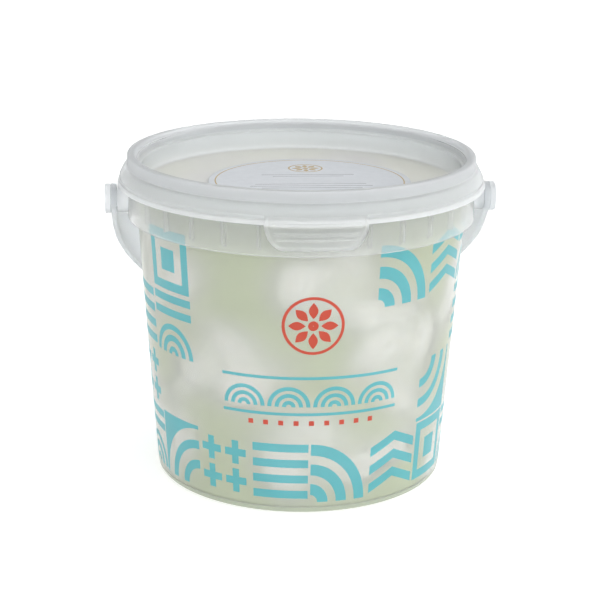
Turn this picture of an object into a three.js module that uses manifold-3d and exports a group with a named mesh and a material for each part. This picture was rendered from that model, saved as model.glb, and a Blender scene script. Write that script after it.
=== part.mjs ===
// A shut one litre pail of mozzarella knots: a tapered translucent pail with a stand-off collar, a
// press-on lid with a pull tab, a swing handle, a paper disc in the lid and the heap of knots inside.
// Millimetres, +Z up, origin at the middle of the base. The pull tab faces -Y, the handle turns about X.
import * as THREE from "three";
import { mergeVertices } from "three/addons/utils/BufferGeometryUtils.js";
import Module from "manifold-3d";

// Facets round the pail, the lid and the pegs
const AROUND = 56;
const PEG_SIDES = 20;
const CURVE_STEPS = 3;

// Pail: wall, foot ring and floor
const BASE_R = 52.9; // outer radius at the foot
const WALL_LEAN = 0.0685; // growth of the radius for each millimetre of height
const WALL_T = 1.0;
const FOOT_H = 1.0; // the floor's underside stands clear of the ground inside the foot ring
const FOOT_IN_R = 47.5;
const FOOT_EDGE = 1.6;
const FLOOR_T = 1.2;
const FLOOR_ROUND = 3.0;

// Pail: stand-off collar under the lid, and the rim inside the lid
const COLLAR_R = 63.0;
const COLLAR_T = 1.0;
const COLLAR_DRAFT = 0.4;
const COLLAR_LOW = 96.3;
const FLANGE_LOW = 106.8;
const FLANGE_TOP = 108.0;
const RIM_R = 61.4;
const RIM_TOP = 116.9;
const SNAP_R = 62.7;
const SNAP_LOW = 111.4;
const SNAP_TOP = 114.2;
const SNAP_FLAT = 0.9;

// Pail: upright ribs between wall and collar
const RIBS = 30;
const RIB_T = 0.9;
const RIB_LOW = 98.6;
const RIB_IN_R = 59.3;

// Pivots on the two sides
const PIVOT_Z = 102;
const BOSS_R = 5.0;
const BOSS_OUT = 66.55;
const PIN_R = 3.0;
const HEAD_R = 5.3;
const HEAD_IN = 69.2;
const HEAD_OUT = 71.1;

// Lid
const LID_R = 66.5;
const LID_LOW = 107.95;
const LID_TOP = 118.85;
const LIP_IN_R = 65.2;
const LIP_TOP_R = 66.2;
const LIP_TOP = 109.5;
const GROOVE_R = 65.55;
const GROOVE_TOP = 111.0;
const SKIRT_IN_R = 64.5; // inner face of the skirt at the top of the groove
const STEP_R = 64.1; // foot of the upright band round the top
const STEP_Z = 114.5;
const CREST_R = 62.9;
const CREST_T = 1.0;
const CREST_ROUND = 0.7;
const ROOF_LOW = 117.4; // roof of the channel that takes the pail's rim
const CREST_IN_R = 59.9;
const LEDGE_R = 58.6;
const LEDGE_Z = 115.0;
const LEDGE_W = 0.8;
const PANEL_R = 57.2;
const PANEL_TOP = 108.0;
const PANEL_T = 1.0;
const PANEL_ROUND = 1.2;
const PLUG_R = 59.3;
const PLUG_Z = 114.4;
const PLUG_FOOT_R = 58.3;

// Pull tab at the front of the lid
const TAB_TOP_W = 35;
const TAB_LOW_W = 21.6;
const TAB_LOW = 99.65;
const TAB_BEND = [15.9, 99.85]; // where the lines of side and foot would meet
const TAB_SHOULDER = 107.6; // above it the tab leans in with the skirt
const TAB_TOP = 111.0;
const TAB_TOP_R = 65.95;
const TAB_IN_R = 65.3;
const TAB_BORDER = 0.9;
const TAB_RELIEF = 0.45;
const TAB_RIDGES = [
  { z: 108.0, height: 1.4, width: 31 },
  { z: 105.0, height: 1.1, width: 29 },
  { z: 103.0, height: 0.7, width: 27.5 },
]; // grip ridges

// Swing handle: half an ellipse of flat strap, hanging behind the pail
const STRAP_IN = 66.9; // half the span between the inner faces
const STRAP_T = 2.0;
const STRAP_W = 15;
const STRAP_TAPER = 16; // distance from the pivots over which the strap widens
const STRAP_REACH = 82.4; // from the pivots to the inner face of the grip
const STRAP_STEPS = 20; // on each half
const EYE_R = 5.4;
const EYE_HOLE_R = 3.35;
const HANG_DEG = 42; // below the horizontal

// Paper disc in the lid
const DISC_R = 36.7;
const DISC_T = 0.3;
const DISC_GAP = 0.1;
const DISC_AT = [2.9, -1.6]; // stuck on a little off the middle

// Heap of knots
const HEAP_GAP = 0.5; // to wall and floor
const HEAP_TOP = 106.4;
const CORE_R = 37;
const CORE_LOW = 8;
const CORE_TOP = 88;
const CORE_SIDES = 12;
const KNOT = [25.5, 16, 21.5]; // half sizes of a knot, its two loops along X
const KNOT_SIDES = 12;
const KNOT_ROWS = 8;
const CREASE = 0.15; // share by which the strand between the loops is set off from them
const CREASE_AT = 0.38;
const CREASE_W = 0.14;
const TAILS = [
  [-0.45, -0.4, 0.8],
  [0.45, -0.35, -0.82],
]; // where the two loose ends leave the knot
const TAIL_PULL = 0.45;
const TAIL_W = 0.36;
const KNOT_DEPTH = 13.5; // from a knot's middle to the wall, which flattens it
const UNEVEN = 0.07;
const LAYERS = [
  { z: 21, count: 5, first: 4, tilt: 0.4 },
  { z: 53, count: 5, first: 38, tilt: 1.5 },
  { z: 84, count: 5, first: 10, tilt: 0.9 },
];
const TILT_STEP = 1.9; // turn of each knot against the one beside it
const MIDDLE_KNOT_Z = 86;

const wasm = await Module();
wasm.setup();

// A closed three.js geometry as a solid that can be joined and cut.
function solid(geometry) {
  const bare = new THREE.BufferGeometry();
  bare.setAttribute("position", geometry.getAttribute("position"));
  bare.setIndex(geometry.index);
  const merged = mergeVertices(bare, 1e-4);
  const corners = merged.index.array;
  const triVerts = [];
  for (let i = 0; i < corners.length; i += 3) {
    const [a, b, c] = corners.slice(i, i + 3);
    if (a !== b && b !== c && c !== a) triVerts.push(a, b, c);
  }
  return new wasm.Manifold(
    new wasm.Mesh({
      numProp: 3,
      vertProperties: new Float32Array(merged.getAttribute("position").array),
      triVerts: new Uint32Array(triVerts),
    }),
  );
}

// A solid as a named mesh with its own material.
function mesh(name, body, look) {
  const { vertProperties, triVerts } = body.getMesh();
  const geometry = new THREE.BufferGeometry();
  geometry.setAttribute("position", new THREE.BufferAttribute(vertProperties, 3));
  geometry.setIndex(new THREE.BufferAttribute(triVerts, 1));
  geometry.computeVertexNormals();
  const made = new THREE.Mesh(geometry, new THREE.MeshStandardMaterial(look));
  made.name = name;
  return made;
}

// An outline of radius and height, turned about Z.
function turned(draw, sides = AROUND) {
  const outline = new THREE.Path();
  draw(outline);
  const geometry = new THREE.LatheGeometry(outline.getPoints(CURVE_STEPS), sides);
  geometry.rotateX(Math.PI / 2);
  return solid(geometry);
}

// A round peg along X at the height of the pivots.
function peg(radius, from, to) {
  const geometry = new THREE.CylinderGeometry(radius, radius, Math.abs(to - from), PEG_SIDES);
  geometry.rotateZ(Math.PI / 2);
  geometry.translate((from + to) / 2, 0, PIVOT_Z);
  return solid(geometry);
}

const wallR = (z) => BASE_R + WALL_LEAN * z;
const insideR = (z) => wallR(z) - WALL_T;
const FLOOR_Z = FOOT_H + FLOOR_T;

// The pail: shell, ribs behind the collar, and a boss, pin and head on each side.
function makePail() {
  let pail = turned((p) => {
    p.moveTo(0, FOOT_H);
    p.lineTo(FOOT_IN_R - FOOT_H, FOOT_H);
    p.lineTo(FOOT_IN_R, 0);
    p.lineTo(BASE_R - FOOT_EDGE, 0);
    p.quadraticCurveTo(BASE_R, 0, wallR(FOOT_EDGE), FOOT_EDGE);
    p.lineTo(wallR(FLANGE_LOW), FLANGE_LOW);
    p.lineTo(COLLAR_R - COLLAR_DRAFT - COLLAR_T, FLANGE_LOW);
    p.lineTo(COLLAR_R - COLLAR_T, COLLAR_LOW);
    p.lineTo(COLLAR_R, COLLAR_LOW);
    p.lineTo(COLLAR_R - COLLAR_DRAFT, FLANGE_TOP);
    p.lineTo(RIM_R, FLANGE_TOP);
    p.lineTo(RIM_R, SNAP_LOW);
    p.lineTo(SNAP_R, SNAP_LOW + SNAP_FLAT);
    p.lineTo(SNAP_R, SNAP_TOP - SNAP_FLAT);
    p.lineTo(RIM_R, SNAP_TOP);
    p.lineTo(RIM_R, RIM_TOP);
    p.lineTo(insideR(RIM_TOP), RIM_TOP);
    p.lineTo(insideR(FLOOR_Z + FLOOR_ROUND), FLOOR_Z + FLOOR_ROUND);
    p.quadraticCurveTo(insideR(FLOOR_Z), FLOOR_Z, insideR(FLOOR_Z) - FLOOR_ROUND, FLOOR_Z);
    p.lineTo(0, FLOOR_Z);
  });
  const ribOut = COLLAR_R - COLLAR_T + 0.3;
  const ribTop = FLANGE_LOW + 0.3;
  for (let i = 0; i < RIBS; i += 1) {
    const rib = new THREE.BoxGeometry(ribOut - RIB_IN_R, RIB_T, ribTop - RIB_LOW);
    rib.translate((ribOut + RIB_IN_R) / 2, 0, (ribTop + RIB_LOW) / 2);
    rib.rotateZ((i / RIBS) * 2 * Math.PI);
    pail = pail.add(solid(rib));
  }
  for (const side of [-1, 1]) {
    const boss = peg(BOSS_R, side * (COLLAR_R - COLLAR_T), side * BOSS_OUT);
    const pin = peg(PIN_R, side * (BOSS_OUT - 1), side * (HEAD_IN + 0.5));
    const head = peg(HEAD_R, side * HEAD_IN, side * HEAD_OUT);
    pail = pail.add(boss).add(pin).add(head);
  }
  return pail;
}

// A flat outline in X and Z, pushed forward through the front of the lid.
function throughFront(shape) {
  const geometry = new THREE.ExtrudeGeometry(shape, {
    depth: LID_R * 1.2,
    bevelEnabled: false,
    curveSegments: CURVE_STEPS,
  });
  geometry.rotateX(Math.PI / 2);
  return solid(geometry);
}

// The tab's outline, drawn in by a margin and open to a height: upright at the lid, then in one sweep to
// the narrower foot.
function tabOutline(outline, margin, top) {
  const side = TAB_TOP_W / 2 - margin;
  const foot = TAB_LOW_W / 2;
  const low = TAB_LOW + margin;
  const bend = [TAB_BEND[0] - margin, TAB_BEND[1] + margin];
  outline.moveTo(-side, top);
  outline.lineTo(-side, TAB_SHOULDER);
  outline.quadraticCurveTo(-bend[0], bend[1], -foot, low);
  outline.lineTo(foot, low);
  outline.quadraticCurveTo(bend[0], bend[1], side, TAB_SHOULDER);
  outline.lineTo(side, top);
  outline.closePath();
  return outline;
}

// The space between two distances from the tab's outer face, which leans in above the shoulder.
function tabLayer(inner, relief) {
  return turned((p) => {
    p.moveTo(inner, TAB_LOW - 1);
    p.lineTo(LID_R + relief, TAB_LOW - 1);
    p.lineTo(LID_R + relief, TAB_SHOULDER);
    p.lineTo(TAB_TOP_R + relief / 2, TAB_TOP);
    p.lineTo(inner, TAB_TOP);
    p.lineTo(inner, TAB_LOW - 1);
  });
}

function makeTab() {
  const relief = tabLayer(TAB_IN_R, TAB_RELIEF);
  const frame = tabOutline(new THREE.Shape(), 0, TAB_TOP);
  const window = throughFront(tabOutline(new THREE.Shape(), TAB_BORDER, TAB_TOP + 1));
  let tab = throughFront(frame).intersect(tabLayer(TAB_IN_R, 0));
  tab = tab.add(throughFront(frame).subtract(window).intersect(relief));
  for (const { z, height, width } of TAB_RIDGES) {
    const ridge = new THREE.Shape();
    ridge.moveTo(-width / 2, z - height / 2);
    ridge.lineTo(width / 2, z - height / 2);
    ridge.lineTo(width / 2, z + height / 2);
    ridge.lineTo(-width / 2, z + height / 2);
    tab = tab.add(throughFront(ridge).intersect(relief));
  }
  return tab;
}

// The lid: sunk panel, stepped recess wall, crest over the rim, stepped skirt, and the tab.
function makeLid() {
  const panelLow = PANEL_TOP - PANEL_T;
  const shell = turned((p) => {
    p.moveTo(0, panelLow);
    p.lineTo(PLUG_FOOT_R - PANEL_ROUND, panelLow);
    p.quadraticCurveTo(PLUG_FOOT_R, panelLow, PLUG_FOOT_R, panelLow + PANEL_ROUND);
    p.lineTo(PLUG_R, PLUG_Z);
    p.lineTo(PLUG_R, ROOF_LOW);
    p.lineTo(CREST_R - CREST_T, ROOF_LOW);
    p.lineTo(CREST_R - CREST_T, STEP_Z + 0.5);
    p.lineTo(STEP_R - 1.3, STEP_Z - 0.4);
    p.lineTo(SKIRT_IN_R, GROOVE_TOP);
    p.lineTo(LIP_IN_R, LID_LOW);
    p.lineTo(LID_R, LID_LOW);
    p.lineTo(LIP_TOP_R, LIP_TOP);
    p.lineTo(GROOVE_R, LIP_TOP + 0.3);
    p.lineTo(GROOVE_R, GROOVE_TOP - 0.2);
    p.lineTo(GROOVE_R + 0.2, GROOVE_TOP);
    p.lineTo(STEP_R, STEP_Z - 0.3);
    p.lineTo(STEP_R - 0.3, STEP_Z);
    p.lineTo(CREST_R + 0.1, STEP_Z + 0.3);
    p.lineTo(CREST_R, LID_TOP - CREST_ROUND);
    p.quadraticCurveTo(CREST_R, LID_TOP, CREST_R - CREST_ROUND, LID_TOP);
    p.lineTo(CREST_IN_R + CREST_ROUND, LID_TOP);
    p.quadraticCurveTo(CREST_IN_R, LID_TOP, CREST_IN_R - 0.3, LID_TOP - 2 * CREST_ROUND);
    p.lineTo(LEDGE_R, LEDGE_Z);
    p.lineTo(LEDGE_R - LEDGE_W, LEDGE_Z - 0.3);
    p.lineTo(PANEL_R + 0.2, PANEL_TOP + PANEL_ROUND);
    p.quadraticCurveTo(PANEL_R, PANEL_TOP, PANEL_R - PANEL_ROUND, PANEL_TOP);
    p.lineTo(0, PANEL_TOP);
  });
  return shell.add(makeTab());
}

// What the strap keeps of its full width, seen from the side: narrow at the eyes, wider beyond.
function strapOutline() {
  const outline = new THREE.Shape();
  const far = STRAP_REACH + STRAP_T + 5;
  outline.moveTo(-1, -EYE_R);
  outline.lineTo(0, -EYE_R);
  outline.lineTo(STRAP_TAPER, -STRAP_W / 2);
  outline.lineTo(far, -STRAP_W / 2);
  outline.lineTo(far, STRAP_W / 2);
  outline.lineTo(STRAP_TAPER, STRAP_W / 2);
  outline.lineTo(0, EYE_R);
  outline.lineTo(-1, EYE_R);
  outline.closePath();
  const width = 2 * (STRAP_IN + STRAP_T + 5);
  const geometry = new THREE.ExtrudeGeometry(outline, { depth: width, bevelEnabled: false });
  const axes = [new THREE.Vector3(0, 1, 0), new THREE.Vector3(0, 0, 1), new THREE.Vector3(1, 0, 0)];
  geometry.applyMatrix4(new THREE.Matrix4().makeBasis(...axes));
  geometry.translate(-width / 2, 0, PIVOT_Z);
  return solid(geometry);
}

// The handle: a strap along half an ellipse, drawn level and to the back, with an eye at each end,
// then turned down about the pivots to where it hangs.
function makeHandle() {
  const half = STRAP_IN + STRAP_T;
  const reach = STRAP_REACH + STRAP_T;
  const strap = new THREE.Shape();
  strap.absellipse(0, 0, half, reach, 0, Math.PI, false, 0);
  strap.lineTo(-STRAP_IN, 0);
  strap.absellipse(0, 0, STRAP_IN, STRAP_REACH, Math.PI, 0, true, 0);
  strap.closePath();
  const bow = new THREE.ExtrudeGeometry(strap, {
    depth: STRAP_W,
    bevelEnabled: false,
    curveSegments: STRAP_STEPS,
  });
  bow.translate(0, 0, PIVOT_Z - STRAP_W / 2);
  let handle = solid(bow).intersect(strapOutline());
  for (const side of [-1, 1]) {
    handle = handle.add(peg(EYE_R, side * STRAP_IN, side * half));
  }
  for (const side of [-1, 1]) {
    handle = handle.subtract(peg(EYE_HOLE_R, side * (STRAP_IN - 2), side * (half + 2)));
  }
  const hang = new THREE.Matrix4()
    .makeTranslation(0, 0, PIVOT_Z)
    .multiply(new THREE.Matrix4().makeRotationX(THREE.MathUtils.degToRad(-HANG_DEG)))
    .multiply(new THREE.Matrix4().makeTranslation(0, 0, -PIVOT_Z));
  return handle.transform(hang.elements);
}

function makeDisc() {
  const disc = new THREE.CylinderGeometry(DISC_R, DISC_R, DISC_T, AROUND);
  disc.rotateX(Math.PI / 2);
  disc.translate(...DISC_AT, PANEL_TOP + DISC_GAP + DISC_T / 2);
  return solid(disc);
}

// One knot round its own middle: a ball drawn out along X, creased on both sides of the strand that
// crosses between the two loops, and pulled out where the loose ends leave it.
function makeKnot(place) {
  const ball = new THREE.SphereGeometry(1, KNOT_SIDES, KNOT_ROWS);
  ball.rotateZ(Math.PI / 2);
  const ends = TAILS.map((tail) => new THREE.Vector3(...tail).normalize());
  const half = new THREE.Vector3(...KNOT);
  const at = ball.getAttribute("position");
  const point = new THREE.Vector3();
  for (let i = 0; i < at.count; i += 1) {
    point.fromBufferAttribute(at, i);
    let swell = 1 - CREASE * Math.exp(-(((Math.abs(point.x) - CREASE_AT) / CREASE_W) ** 2));
    for (const end of ends) {
      swell += TAIL_PULL * Math.exp(-((point.angleTo(end) / TAIL_W) ** 2));
    }
    point.multiply(half).multiplyScalar(swell).applyMatrix4(place);
    at.setXYZ(i, point.x, point.y, point.z);
  }
  return solid(ball);
}

// The heap: rings of knots pressed against the wall round a plain core, and one in the middle on top.
function makeHeap() {
  const core = new THREE.CylinderGeometry(CORE_R, CORE_R, CORE_TOP - CORE_LOW, CORE_SIDES);
  core.rotateX(Math.PI / 2);
  core.translate(0, 0, (CORE_LOW + CORE_TOP) / 2);
  let heap = solid(core);
  const places = [new THREE.Matrix4().makeTranslation(0, 0, MIDDLE_KNOT_Z)];
  for (const { z, count, first, tilt } of LAYERS) {
    for (let i = 0; i < count; i += 1) {
      const angle = THREE.MathUtils.degToRad(first + (i * 360) / count);
      const lift = 3 * Math.sin(2.4 * i + z);
      const size = 1 + UNEVEN * Math.sin(1.7 * i + z);
      places.push(
        new THREE.Matrix4()
          .makeRotationZ(angle)
          .multiply(new THREE.Matrix4().makeTranslation(0, KNOT_DEPTH - insideR(z), z + lift))
          .multiply(new THREE.Matrix4().makeRotationY(tilt + TILT_STEP * i))
          .multiply(new THREE.Matrix4().makeScale(size, 1, size)),
      );
    }
  }
  for (const place of places) heap = heap.add(makeKnot(place));
  const low = FLOOR_Z + HEAP_GAP;
  return heap.intersect(
    turned((p) => {
      p.moveTo(0, low);
      p.lineTo(insideR(low) - FLOOR_ROUND, low);
      p.lineTo(insideR(low + FLOOR_ROUND) - HEAP_GAP, low + FLOOR_ROUND);
      p.lineTo(insideR(HEAP_TOP) - HEAP_GAP, HEAP_TOP);
      p.lineTo(0, HEAP_TOP);
    }, AROUND / 2),
  );
}

const pack = new THREE.Group();
pack.add(
  mesh("pail", makePail(), { color: 0xdde2dc, roughness: 0.35, metalness: 0 }),
  mesh("lid", makeLid(), { color: 0xd8dde0, roughness: 0.35, metalness: 0 }),
  mesh("handle", makeHandle(), { color: 0xd9dee1, roughness: 0.35, metalness: 0 }),
  mesh("lid_disc", makeDisc(), { color: 0xf4f5f5, roughness: 0.6, metalness: 0 }),
  mesh("mozzarella_knots", makeHeap(), { color: 0xf6f4ea, roughness: 0.5, metalness: 0 }),
);

export default pack;
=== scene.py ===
"""A shut translucent pail of mozzarella knots in whey, dressed for the render: moulded plastic pail, lid
and swing handle, a paper disc in the lid, the tied knots, the cloudy whey round them and a print of plain
shapes."""
import math

import bmesh
import bpy
import numpy as np
from mathutils import Matrix, Vector
from mathutils.bvhtree import BVHTree
from mathutils.kdtree import KDTree


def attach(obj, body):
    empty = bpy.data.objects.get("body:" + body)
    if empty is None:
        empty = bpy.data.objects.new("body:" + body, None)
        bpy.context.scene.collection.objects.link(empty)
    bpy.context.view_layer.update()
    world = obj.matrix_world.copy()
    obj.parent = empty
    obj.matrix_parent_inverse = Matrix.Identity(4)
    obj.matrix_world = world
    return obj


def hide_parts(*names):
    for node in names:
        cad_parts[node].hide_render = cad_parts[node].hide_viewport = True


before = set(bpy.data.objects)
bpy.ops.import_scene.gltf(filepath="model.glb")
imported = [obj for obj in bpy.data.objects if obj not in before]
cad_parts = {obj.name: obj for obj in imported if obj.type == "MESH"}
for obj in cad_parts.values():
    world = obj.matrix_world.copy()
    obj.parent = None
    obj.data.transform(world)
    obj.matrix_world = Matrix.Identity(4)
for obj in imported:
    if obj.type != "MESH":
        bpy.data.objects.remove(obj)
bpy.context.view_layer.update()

# Lengths are in millimetres
MM = 0.001
SIDES = 192  # facets round the pail, the lid, the disc and the whey
PEG_SIDES = 48
SHARP_DEG = 40.0  # an edge that bends more than this stays sharp
NEAR = 0.1  # how close to a surface the middle of one of its faces lies

# Pail
BASE_R = 52.9
BASE_ROUND = 2.4
WALL_LEAN = 0.0685  # growth of the radius with the height
WALL_T = 1.0
FOOT_H = 1.0
FOOT_IN_R = 47.5
FLOOR_Z = 2.2
FLOOR_ROUND = 3.0
COLLAR_R = 63.0
COLLAR_T = 1.0
COLLAR_DRAFT = 0.4
COLLAR_LOW = 96.3
COLLAR_TOP_IN_R = COLLAR_R - COLLAR_DRAFT - COLLAR_T
FLANGE_LOW = 106.8
FLANGE_TOP = 108.0
RIM_R = 61.4
RIM_TOP = 116.9
SNAP_R = 62.7
SNAP_LOW = 111.4
SNAP_TOP = 114.2
SNAP_SLOPE = 0.9
RIBS = 30
RIB_T = 0.8
RIB_LOW = 98.6
RIB_TOP = FLANGE_LOW + 0.3
RIB_IN_R = 59.3
RIB_GAP = 0.3

# Pivots
PIVOT_Z = 102.0
BOSS_R = 5.0
BOSS_OUT = 66.55
PIN_R = 3.0
HEAD_R = 5.3
HEAD_IN = 69.0
HEAD_OUT = 71.1

# Lid
LID_R = 66.5
LID_T = 1.0
LID_LOW = 107.95
LID_TOP = 118.85
LIP_IN_R = 65.2
LIP_TOP_R = 66.2
LIP_TOP = 109.5
GROOVE_R = 65.55
GROOVE_TOP = 111.0
SKIRT_IN_R = 64.5
STEP_R = 64.1
STEP_Z = 114.5
CREST_R = 62.9
ROOF_LOW = 117.4
CREST_IN_R = 59.9
LEDGE_R = 58.6
LEDGE_Z = 115.0
PANEL_R = 57.2
PANEL_TOP = 108.0
PANEL_LOW = 107.0
PANEL_ROUND = 1.2
PLUG_R = 59.3
PLUG_Z = 114.4
PLUG_FOOT_R = 58.3

# Pull tab, with its grip ridges as height, thickness and width
TAB_TOP_W = 35.0
TAB_LOW_W = 21.6
TAB_LOW = 99.65
TAB_BEND = (15.9, 99.85)
TAB_SHOULDER = 107.6
TAB_TOP = 111.0
TAB_TOP_R = 65.95
TAB_OUT_R = LID_R + 0.05
TAB_IN_R = 65.35
TAB_BORDER = 0.9
TAB_RELIEF = 0.4
TAB_FADE = 1.5  # where the relief runs out below the top
TAB_RIDGES = ((108.0, 1.4, 31.0), (105.0, 1.1, 29.0), (103.0, 0.7, 27.5))
RIDGE_END = 0.8
TAB_COLUMNS = 141
TAB_ROWS = 81

# Handle
STRAP_IN = 66.9
STRAP_T = 2.0
STRAP_W = 15.0
STRAP_TAPER = 16.0
STRAP_REACH = 82.4
STRAP_SOFT = 0.5
EYE_R = 5.4
EYE_HOLE_R = 3.35
HOLE_PAST = 2.0  # how far the tool that cuts an eye reaches past the strap
HANG_DEG = 42.0

# Paper disc
DISC_R = 36.7
DISC_LOW = 108.1
DISC_T = 0.3
DISC_AT = (2.9, -1.6)

# Milky edges, as shares of the way from clear to milky
EDGE_CLEAR = 0.45  # what a milky edge keeps of the clearness
EDGE_SHARE = 0.3
STRAP_EDGE_SHARE = 0.15
EDGE_FROM_DEG = 6
EDGE_FULL_DEG = 20
LIP_MILKY = 0.6
LIP_FADE = 0.5

# One knot
STRAND_R = 10.4
TAIL_R = 5.0
LOOP_W = 5.2
LOOP_H = 3.8
LOOP_CUT = 0.3  # half of what is cut from the closed loop, in radians
CROSS_DEPTH = 4.0
TAIL_RUN = 7.0
TAIL_SPREAD = 7.0
FRAYS = 6
FRAY_TURN = 2.4
FRAY_RUN = 9.0
FRAY_THICK = (2.4, 0.9)
FIBRE_MM = 0.06
WALL_VOXEL = 1.35
INNER_VOXEL = 2.5

# The heap of knots, its layers as height, number, first angle in degrees and tilt
LAYERS = ((21.0, 5, 4.0, 0.4), (53.0, 5, 38.0, 1.5), (84.0, 5, 10.0, 0.9))
MIDDLE_KNOTS = (26.0, 58.0, 88.0)
KNOT_DEPTH = 12.0
DEPTH_SPREAD = 1.6
LIFT_SPREAD = 3.0
UNEVEN = 0.07
TILT_STEP = 1.9
INNER_DEPTH = 24.0
INNER_LIFT = 6.0
INNER_SIZE = 0.85
KNOT_WOBBLE = 1.3
PRESS_SOFT = 1.0
WALL_GAP = 0.06
FLOOR_GAP = 0.1
TOP_GAP = 0.3

# Whey, its cloudiness as shares
WHEY_INTO_WALL = 0.15
WHEY_TOP = PANEL_LOW + WHEY_INTO_WALL
WHEY_INTO_FLOOR = 0.1
WHEY_EDGE = 2.2  # longest edge of its mesh that isn't split
FOG_MM = 7.0
RAYS = 6
RAY_LEAN = 0.45
RAY_REACH = 50.0
THINNEST = 0.24
THICKEST = 0.97
DEEP_FROM = 0.9
VEIL_BLURS = 12

# Print in tiles round the wall, a letter for each motif
TILES_ROUND = 16
TILE_H = 23.8
PRINT_LOW = 4.5
PRINT_LIFT = 0.06
TILE_ROWS = (
    "fsncaFpsfcnaFspa",
    "..a.p.....F...F.",
    "c...sa.....sp...",
    ".Fp..n...fca..s.",
)
EMBLEM_Z = 71.0
EMBLEM_R = 10.5
EMBLEM_PETALS = 8
BAND_LOW = 41.0
BAND_TILE = 8.0
BAND_TILES = 8
BAND_LINE = 1.1
SQUARES_LOW = 34.0
SQUARE_W = 1.8
SQUARES = 9
BAR_STEP = 2.0

# Print on the disc, its lines as place and width
DISC_EMBLEM_Y = 20
DISC_EMBLEM_R = 6.5
DISC_RING = (34.0, 34.5)
DISC_LINES = ((9, 34), (6.5, 26), (-6, 40), (-9, 44), (-12, 36))
DISC_LINE_H = 0.7

# Light and floor
KEY_FROM = (0.85, -0.5, 0.2)
KEY_SPAN = (-0.9, 1.0)
ROOM_LIGHT = 1.13
KEY_LIGHT = 2.3
OVERHEAD_SPAN = (0.05, 0.8)
OVERHEAD = 0.345
FLOOR_M = 12
FLOOR_TONE = 0.75
FLOOR_GLOW = 0.55

# Camera, as fitted to the outlines of the pack
CAMERA_BACK = 614.0
CAMERA_UP = 250.0
CAMERA_YAW = 4.6
CAMERA_PITCH = 16.97
CAMERA_ROLL = 0.65
FOCAL_PX = 1729.7
FRAME_PX = 600
SENSOR_MM = 36.0
CLIP_START_M = 0.01


def wall_r(z):
    return BASE_R + WALL_LEAN * z


def inside_r(z):
    return wall_r(z) - WALL_T


# Meshes
def mesh_object(name, verts, faces, sharp_deg=SHARP_DEG):
    """A smooth-shaded mesh from points in millimetres."""
    mesh = bpy.data.meshes.new(name)
    mesh.from_pydata((np.asarray(verts, float) * MM).tolist(), [], [list(f) for f in faces])
    mesh.validate()
    tidy = bmesh.new()
    tidy.from_mesh(mesh)
    bmesh.ops.recalc_face_normals(tidy, faces=tidy.faces)
    tidy.to_mesh(mesh)
    tidy.free()
    obj = bpy.data.objects.new(name, mesh)
    bpy.context.scene.collection.objects.link(obj)
    shade_smooth(obj, sharp_deg)
    return obj


def shade_smooth(obj, sharp_deg=SHARP_DEG):
    obj.data.polygons.foreach_set("use_smooth", [True] * len(obj.data.polygons))
    obj.data.set_sharp_from_angle(angle=math.radians(sharp_deg))


def bake_modifiers(obj):
    """Replaces the object's mesh by its modified one."""
    graph = bpy.context.evaluated_depsgraph_get()
    made = bpy.data.meshes.new_from_object(obj.evaluated_get(graph))
    obj.modifiers.clear()
    obj.data = made


def combine(obj, other, operation):
    """Joins or cuts two closed meshes and removes the second."""
    boolean = obj.modifiers.new(operation, "BOOLEAN")
    boolean.object = other
    boolean.operation = operation
    boolean.solver = "MANIFOLD"
    bake_modifiers(obj)
    bpy.data.objects.remove(other)


def join(name, parts):
    """One object from several meshes that stay apart."""
    whole = bmesh.new()
    for part in parts:
        whole.from_mesh(part.data)
        bpy.data.objects.remove(part)
    mesh = bpy.data.meshes.new(name)
    whole.to_mesh(mesh)
    whole.free()
    obj = bpy.data.objects.new(name, mesh)
    bpy.context.scene.collection.objects.link(obj)
    return obj


def wear(obj, looks):
    """Gives the object its materials."""
    obj.data.materials.clear()
    for look in looks:
        obj.data.materials.append(look)


def mark_edges(obj, share, thick=None):
    """Keeps at each point how far an edge or a thick place makes the plastic milky, from 0 to 1."""
    bends = bmesh.new()
    bends.from_mesh(obj.data)
    low = math.radians(EDGE_FROM_DEG)
    high = math.radians(EDGE_FULL_DEG)
    values = []
    for vertex in bends.verts:
        most = max((e.calc_face_angle(0.0) for e in vertex.link_edges), default=0.0)
        bend = share * min(1.0, (most - low) / (high - low))
        gathered = thick(vertex.co.z / MM) if thick else 0.0
        values.append(min(1.0, max(0.0, bend, gathered)))
    bends.free()
    obj.data.attributes.new("edge", "FLOAT", "POINT").data.foreach_set("value", values)


def rounded(corners, steps=4, side_share=0.45):
    """An outline of (radius, height, rounding) corners as points. A rounding takes up part of each side."""
    points = [np.array(corner[:2], float) for corner in corners]
    path = [points[0]]
    for before, here, after, corner in zip(points, points[1:], points[2:], corners[1:]):
        back, ahead = before - here, after - here
        most = [side_share * np.linalg.norm(side) for side in (back, ahead)]
        reach = min(corner[2], *most)
        start = here + back / np.linalg.norm(back) * reach
        end = here + ahead / np.linalg.norm(ahead) * reach
        for t in np.linspace(0, 1, steps + 1):
            path.append((1 - t) ** 2 * start + 2 * t * (1 - t) * here + t * t * end)
    path.append(points[-1])
    return np.array(path)


def spaced(path, longest=5.0, near=0.4):
    """Adds points to the straight runs of an outline, so that round corners keep their own shading."""
    out = [path[0]]
    for a, b in zip(path, path[1:]):
        length = np.linalg.norm(b - a)
        if length > 3 * near:
            count = max(1, math.ceil((length - 2 * near) / longest))
            for t in np.linspace(near / length, 1 - near / length, count + 1):
                out.append(a + (b - a) * t)
        out.append(b)
    return np.array(out)


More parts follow.
